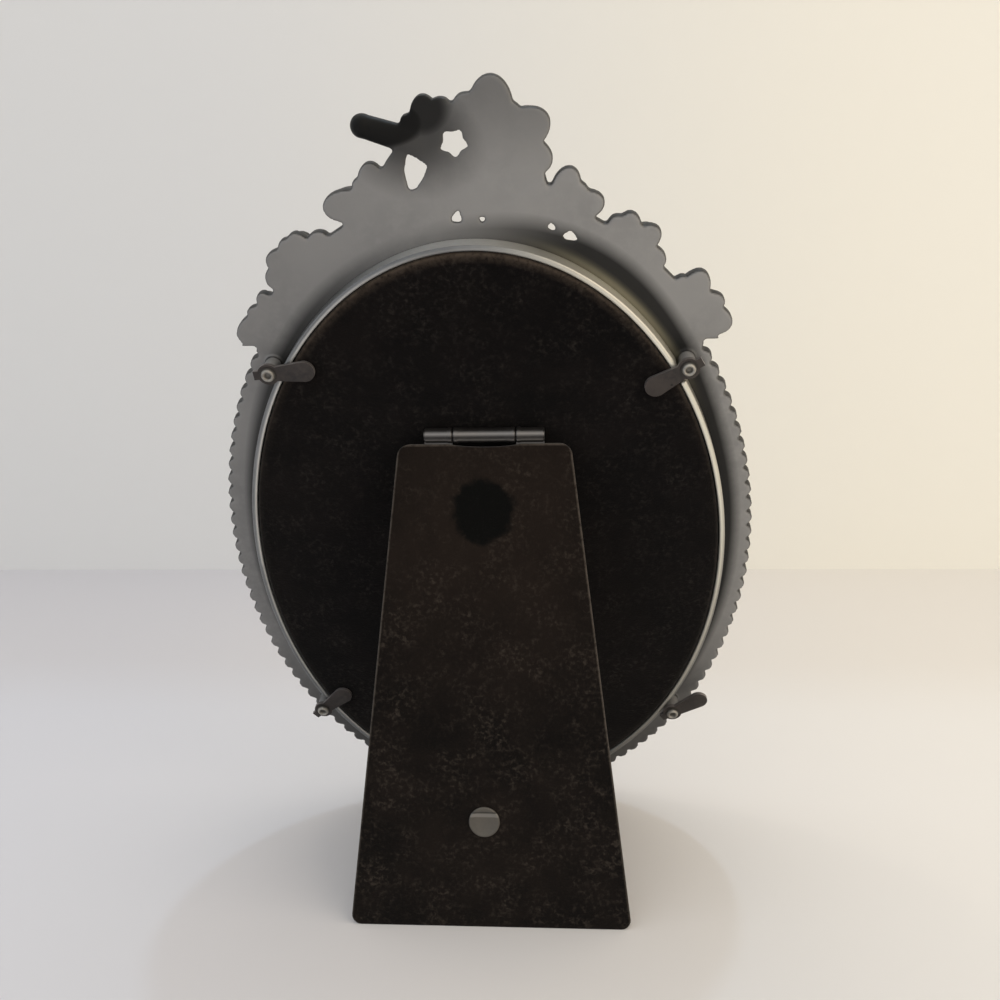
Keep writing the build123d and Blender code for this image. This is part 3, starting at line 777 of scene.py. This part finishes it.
# Hinge: two leaves of dark sheet rolled into knuckles round one pin, the back leaf bent through the board.
# The leg's leaf is glued in the leg, so only the barrel shows.
middle_knuckle = (
    (0.0, -6.0), (1.42, -6.0), (1.56, -5.86), (1.56, -5.3), (1.46, -5.0),
    (1.46, 5.0), (1.56, 5.3), (1.56, 5.86), (1.42, 6.0), (0.0, 6.0))
end_knuckle = (
    (0.0, 6.27), (1.42, 6.27), (1.56, 6.41), (1.56, 6.97),
    (1.46, 7.27), (1.46, 11.46), (1.32, 11.6), (0.0, 11.6))

hinge_steel, tree, shader = new_material("hinge_steel", Metallic=0.5, Roughness=0.32)
surface = use_group(
    tree, tarnish, Pale=(0.03, 0.0278, 0.0265, 1), Dark=(0.0175, 0.016, 0.0155, 1),
    Patch_Scale=240.0, Grain_Scale=900.0, Pit_Share=0.0)
# The marked lines take a paler colour as painted highlights.
tree.links.new(
    mixed(tree, marked(tree, "wear_and_painted_light"), surface["Color"], (0.23, 0.218, 0.21, 1)), shader["Base Color"])
add_bump(tree, shader, surface["Height"], 0.05 * MM)


def knuckle_highlight(point, normal):
    """Painted highlights along two lines of the barrel."""
    round_barrel = math.degrees(math.atan2(normal.y, normal.z))
    return max(1 - abs(round_barrel - 38) / 22, 0.55 - abs(round_barrel + 12) / 24)


for node, name, body, section, sides in (
        ("hinge_back_leaf", "back_knuckle", "frame", middle_knuckle, (1,)),
        ("hinge_leg_leaf", "leg_knuckles", "leg", end_knuckle, (1, -1))):
    rolled = flat_copy(node, name)
    first_knuckle = spun("knuckle", section, steps=64)
    knuckles = [first_knuckle] + [another(first_knuckle, "knuckle") for _ in sides[1:]]
    for knuckle, side in zip(knuckles, sides):
        knuckle.data.transform(
            Matrix.Translation(hinge_place) @ Matrix.Rotation(side * math.pi / 2, 4, "Y"))
    leaf = join([rolled, *knuckles])
    mark(leaf, "wear_and_painted_light", knuckle_highlight)
    set_up(leaf)
    dress(leaf, hinge_steel)
    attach(leaf, body)
    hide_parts(node)
dress(frame["nodes"]["hinge_pin"], dull_steel)

# Leg: a tapered board covered in brownish black velvet, turned over its edges, with paper on its inner side.
# The pile is worn pale along the edges and flattened in a round patch near the top.
leg_swing = math.radians(28)
leg_out = rear * math.cos(leg_swing) + up_frame * math.sin(leg_swing)
leg_turned = Matrix((across, leg_out.cross(across), leg_out)).transposed()
leg_standing = Matrix.Translation(hinge_point) @ leg_turned.to_4x4()
leg_top = 1.7 * MM
leg_length = 99.65 * MM
leg_top_width = 33.7 * MM
leg_bottom_width = 57.2 * MM
leg_face = 1.25 * MM
leg_fold = -1.0 * MM
leg_corner = 2.2 * MM
leg_edge_round = 0.38 * MM
leg_dip = 0.6 * MM
leg_dip_half = 6.6 * MM
leg_rings = (0.45 * MM, 0.3 * MM, 0.7 * MM)
at_leg_top = -leg_top - 0.01 * MM
patch_middle = leg_standing @ (Vector((-0.4, -14.8, 1.25)) * MM)

bpy.ops.mesh.primitive_plane_add(size=1)
leg_velvet = added("velvet_leg")
leg_velvet.scale = (leg_bottom_width, leg_length - leg_top, 1)
leg_velvet.location = (0, -(leg_length + leg_top) / 2, leg_face)
bpy.ops.object.transform_apply(location=True, rotation=False, scale=True)
pick_points(leg_velvet, lambda point: point.y > -leg_length / 2)
bpy.ops.transform.resize(
    value=(leg_top_width / leg_bottom_width, 1, 1), center_override=(0, -leg_top, leg_face))
bpy.ops.mesh.select_all(action="SELECT")
bpy.ops.mesh.bevel(offset=leg_corner, segments=6, affect="VERTICES")
bpy.ops.mesh.select_all(action="DESELECT")
bpy.ops.object.mode_set(mode="OBJECT")
for edge in leg_velvet.data.edges:
    ends = [leg_velvet.data.vertices[index].co for index in edge.vertices]
    edge.select = all(end.y > at_leg_top for end in ends)
bpy.ops.object.mode_set(mode="EDIT")
bpy.ops.mesh.subdivide(number_cuts=48)
bpy.ops.object.mode_set(mode="OBJECT")
for vertex in leg_velvet.data.vertices:
    if vertex.co.y > at_leg_top and abs(vertex.co.x) < leg_dip_half:
        vertex.co.y -= leg_dip * math.cos(0.5 * math.pi * vertex.co.x / leg_dip_half) ** 0.5
bpy.ops.object.mode_set(mode="EDIT")
bpy.ops.mesh.select_all(action="SELECT")
for ring in leg_rings:
    bpy.ops.mesh.inset(thickness=ring)
bpy.ops.mesh.select_all(action="DESELECT")
bpy.ops.mesh.select_mode(type="EDGE")
bpy.ops.mesh.select_non_manifold()
bpy.ops.mesh.extrude_region_move(TRANSFORM_OT_translate={"value": (0, 0, leg_fold - leg_face)})
bpy.ops.mesh.select_mode(type="VERT")
bpy.ops.mesh.select_all(action="SELECT")
bpy.ops.mesh.normals_make_consistent(inside=False)
bpy.ops.object.mode_set(mode="OBJECT")
round_edges(leg_velvet, leg_edge_round, segments=5, sharper_than=60)
use_modifier(leg_velvet, "SOLIDIFY", thickness=velvet_thickness, offset=-1.0)


def leg_wear(point, normal):
    """Worn along the sides and the top, out from the flat of the leg."""
    share = (point.y + leg_top) / (leg_top - leg_length)
    half = (leg_top_width + (leg_bottom_width - leg_top_width) * share) / 2
    inside = min(half - abs(point.x), -leg_top - point.y)
    return (1.0 - (inside / MM - 0.25) / 0.2) * (1 - 0.75 * share)


mark(leg_velvet, "wear_and_painted_light", leg_wear)
set_up(leg_velvet, leg_standing)
for vertex in leg_velvet.data.vertices:
    vertex.co.z = max(vertex.co.z, 0)

brown_velvet, tree, shader = new_material(
    "brown_velvet", Roughness=1.0, Specular_IOR_Level=0.1, Sheen_Weight=0.1, Sheen_Roughness=0.5)
nap = use_group(
    tree, pile, Nap=(0.0023, 0.0016, 0.0012, 1), Brushed=(0.0084, 0.0057, 0.0042, 1),
    Fleck=(0.044, 0.035, 0.028, 1), Bare=(0.085, 0.072, 0.06, 1))
from_patch = vectored(tree, "DISTANCE", own_place(tree), patch_middle)
ragged = add_node(tree, "ShaderNodeTexNoise", Vector=own_place(tree), Scale=420.0, Detail=4.0)
patch_edge = figured(tree, "MULTIPLY_ADD", ragged.outputs["Fac"], 4 * MM, from_patch)
open_nap = ramped(tree, patch_edge, 7.3 * MM, 8.9 * MM)
near_top = figured(tree, "MULTIPLY", ramped(tree, from_patch, 50 * MM, 0), 0.4)
browned = mixed(tree, near_top, nap["Color"], (0.021, 0.0138, 0.0098, 1))
tree.links.new(mixed(tree, open_nap, (0.0009, 0.001, 0.0007, 1), browned), shader["Base Color"])
add_bump(tree, shader, nap["Height"], 0.12 * MM)
dress(leg_velvet, brown_velvet)
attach(leg_velvet, "leg")
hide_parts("leg_velvet")

black_paper = paper_material("black_paper", (0.03, 0.028, 0.026, 1), (0.012, 0.011, 0.01, 1), 700.0)
dress(frame["nodes"]["leg_lining"], black_paper)
dress(frame["nodes"]["leg_core"], grey_card)

# Leg rivet: a flat grey head pressed into the velvet low on the leg, with its clinched end in the lining.
# It is spun from half a section, with a faint dish inside its rim.
leg_rivet_section = (
    (0.0, 1.38), (2.3, 1.42), (2.6, 1.56), (2.9, 1.58), (3.08, 1.45), (3.1, 1.25), (1.2, 1.24),
    (1.2, -1.0), (2.0, -1.02), (2.0, -1.2), (1.7, -1.25), (0.0, -1.25))
disc_place = (-0.9 * MM, -77.5 * MM, 0)
scratch_place = leg_standing @ (Vector((-0.9, -75.5, 1.4)) * MM)
up_leg = leg_turned.col[1]

leg_rivet = spun("leg_disc", leg_rivet_section, steps=64)
leg_rivet.data.transform(Matrix.Translation(disc_place))
set_up(leg_rivet, leg_standing)

disc_steel, tree, shader = new_material("disc_steel", Metallic=0.35)
surface = use_group(
    tree, tarnish, Pale=(0.1, 0.091, 0.078, 1), Dark=(0.068, 0.063, 0.055, 1),
    Patch_Scale=180.0, Grain_Scale=900.0, Pit_Share=0.02)
height = vectored(tree, "DOT_PRODUCT", own_place(tree), up_leg)
below = figured(tree, "SUBTRACT", scratch_place.dot(up_leg), height)
beside = figured(tree, "ABSOLUTE", below)
rubbed_strip = figured(
    tree, "MULTIPLY", ramped(tree, below, 0.1 * MM, 0.3 * MM), ramped(tree, below, 1.1 * MM, 0.8 * MM))
rubbed = mixed(tree, rubbed_strip, surface["Color"], (0.185, 0.175, 0.16, 1))
tree.links.new(
    mixed(tree, ramped(tree, beside, 0.1 * MM, 0.24 * MM), (0.045, 0.042, 0.037, 1), rubbed),
    shader["Base Color"])
tree.links.new(surface["Roughness"], shader["Roughness"])
add_bump(tree, shader, surface["Height"], 0.03 * MM)
dress(leg_rivet, disc_steel)
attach(leg_rivet, "leg")
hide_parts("leg_rivet")

# Stage: a pale table that runs back to a pale wall, as in the photograph.
# The table and wall carry painted light: cooler and dimmer on the left, warmer and brighter on the right.
wall_place = -0.238
wall_height = 0.6
stage_half = 1.6

bpy.ops.mesh.primitive_plane_add(size=2 * stage_half, location=(0, wall_place + stage_half, 0))
table_top = added("table_top")
bpy.ops.object.transform_apply(location=True, rotation=True, scale=True)
bpy.ops.mesh.primitive_plane_add(
    size=2 * stage_half, location=(0, wall_place, wall_height / 2), rotation=(math.pi / 2, 0, 0))
wall = added("wall")
wall.scale = (1, wall_height / (2 * stage_half), 1)
bpy.ops.object.transform_apply(location=True, rotation=True, scale=True)


def stage_material(name, left, right):
    """A matte surface whose colour drifts from the view's left to its right, as painted light."""
    material, tree, shader = new_material(name, Roughness=0.95)
    spot = add_node(tree, "ShaderNodeSeparateXYZ", Vector=own_place(tree))
    to_right = ramped(tree, spot.outputs["X"], 0.16, -0.16)
    tree.links.new(mixed(tree, to_right, left, right), shader["Base Color"])
    return material


dress(table_top, stage_material("table_paint", (0.62, 0.62, 0.66, 1), (0.76, 0.73, 0.69, 1)))
dress(wall, stage_material("wall_paint", (0.74, 0.75, 0.76, 1), (0.86, 0.84, 0.77, 1)))

# Light and camera: even room light, a cool light from high beyond the wall, a small warm lamp on the left
# and a large warm light on the right. The camera stands where the photograph was taken from.
camera_place = (-0.016824, 0.207242, 0.126315)
camera_turn = (math.radians(78.164), math.radians(1.08), math.radians(-176.364))

world = bpy.data.worlds.new("room")
bpy.context.scene.world = world
world.use_nodes = True
sky = world.node_tree
way = add_node(
    sky, "ShaderNodeSeparateXYZ", Vector=sky.nodes.new("ShaderNodeTexCoord").outputs["Generated"])
tint = mixed(sky, ramped(sky, way.outputs["X"], 0.8, -0.8), (0.92, 0.96, 1.0, 1), (1.04, 0.97, 0.87, 1))
height = add_node(sky, "ShaderNodeMapRange", Value=way.outputs["Z"], To_Min=0.8, To_Max=1.08)
sky.links.new(tint, sky.nodes["Background"].inputs["Color"])
sky.links.new(height.outputs["Result"], sky.nodes["Background"].inputs["Strength"])


def soft_light(name, place, aim, size, power, colour):
    """A square area light that faces a point."""
    facing = (Vector(aim) - Vector(place)).to_track_quat("-Z", "Y").to_euler()
    bpy.ops.object.light_add(type="AREA", location=place, rotation=facing)
    lamp = bpy.context.object
    lamp.name = name
    lamp.data.size = size
    lamp.data.energy = power
    lamp.data.color = colour


soft_light("high_light", (-0.13, -0.43, 1.43), (0, 0, 0), 0.06, 2.0, (0.58, 0.79, 1.0))
soft_light("lamp", (0.145, -0.04, 0.493), (0, 0, 0), 0.04, 0.08, (1.0, 0.84, 0.66))
soft_light("right_light", (-0.5, 0.2, 0.34), (-0.15, -0.1, 0.1), 0.6, 1.1, (1.0, 0.83, 0.63))

bpy.ops.object.camera_add(location=camera_place, rotation=camera_turn)
camera = bpy.context.object
camera.data.sensor_width = 36
camera.data.lens = 36
camera.data.clip_start = 0.01
bpy.context.scene.camera = camera
bpy.context.scene.view_settings.view_transform = "Standard"
